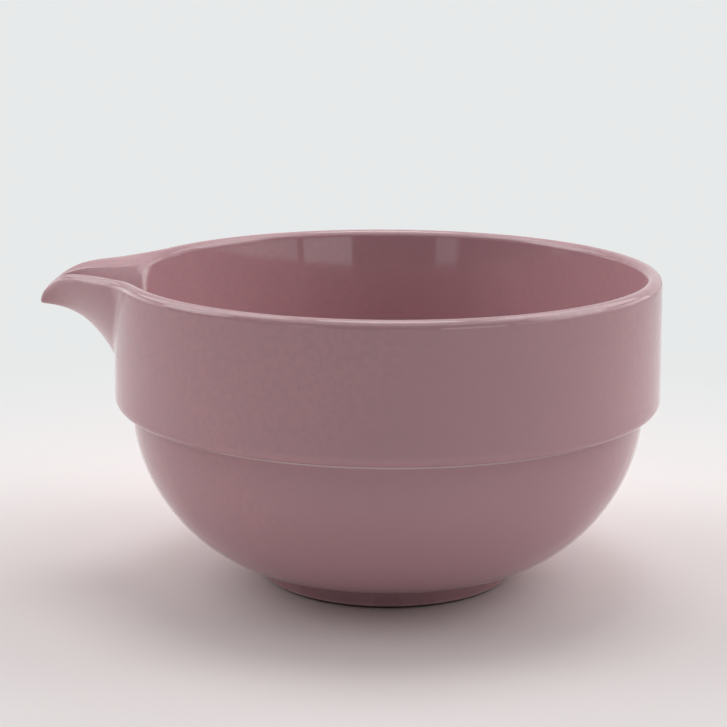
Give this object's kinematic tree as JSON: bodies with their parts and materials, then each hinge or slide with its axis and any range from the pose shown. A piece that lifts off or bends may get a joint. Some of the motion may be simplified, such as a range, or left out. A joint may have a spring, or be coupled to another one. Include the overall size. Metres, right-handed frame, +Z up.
{
  "type": "spouted matcha bowl",
  "caption": "Footed tea-whisking bowl with a straight rim collar stepped out over a rounded basin, and a beak-shaped pouring spout that flows out of the rim.",
  "frame": {"origin": "on the table, under the middle of the length from the spout's tip to the back of the collar; the axis of the turned pieces is 9.6 mm to +X of it", "axes": "+Z up; -X along the spout, so the length is along X and the bowl is the same on both sides of the XZ plane"},
  "size_m": [0.1496, 0.1308, 0.075],
  "materials": {
    "pink_glaze": "glossy",
    "foot_glaze": "satin"
  },
  "bodies": {
    "root": {"lower_bowl": "pink_glaze", "rim_collar": "pink_glaze", "pouring_spout": "pink_glaze", "foot_ring": "foot_glaze"}
  },
  "joints": []
}
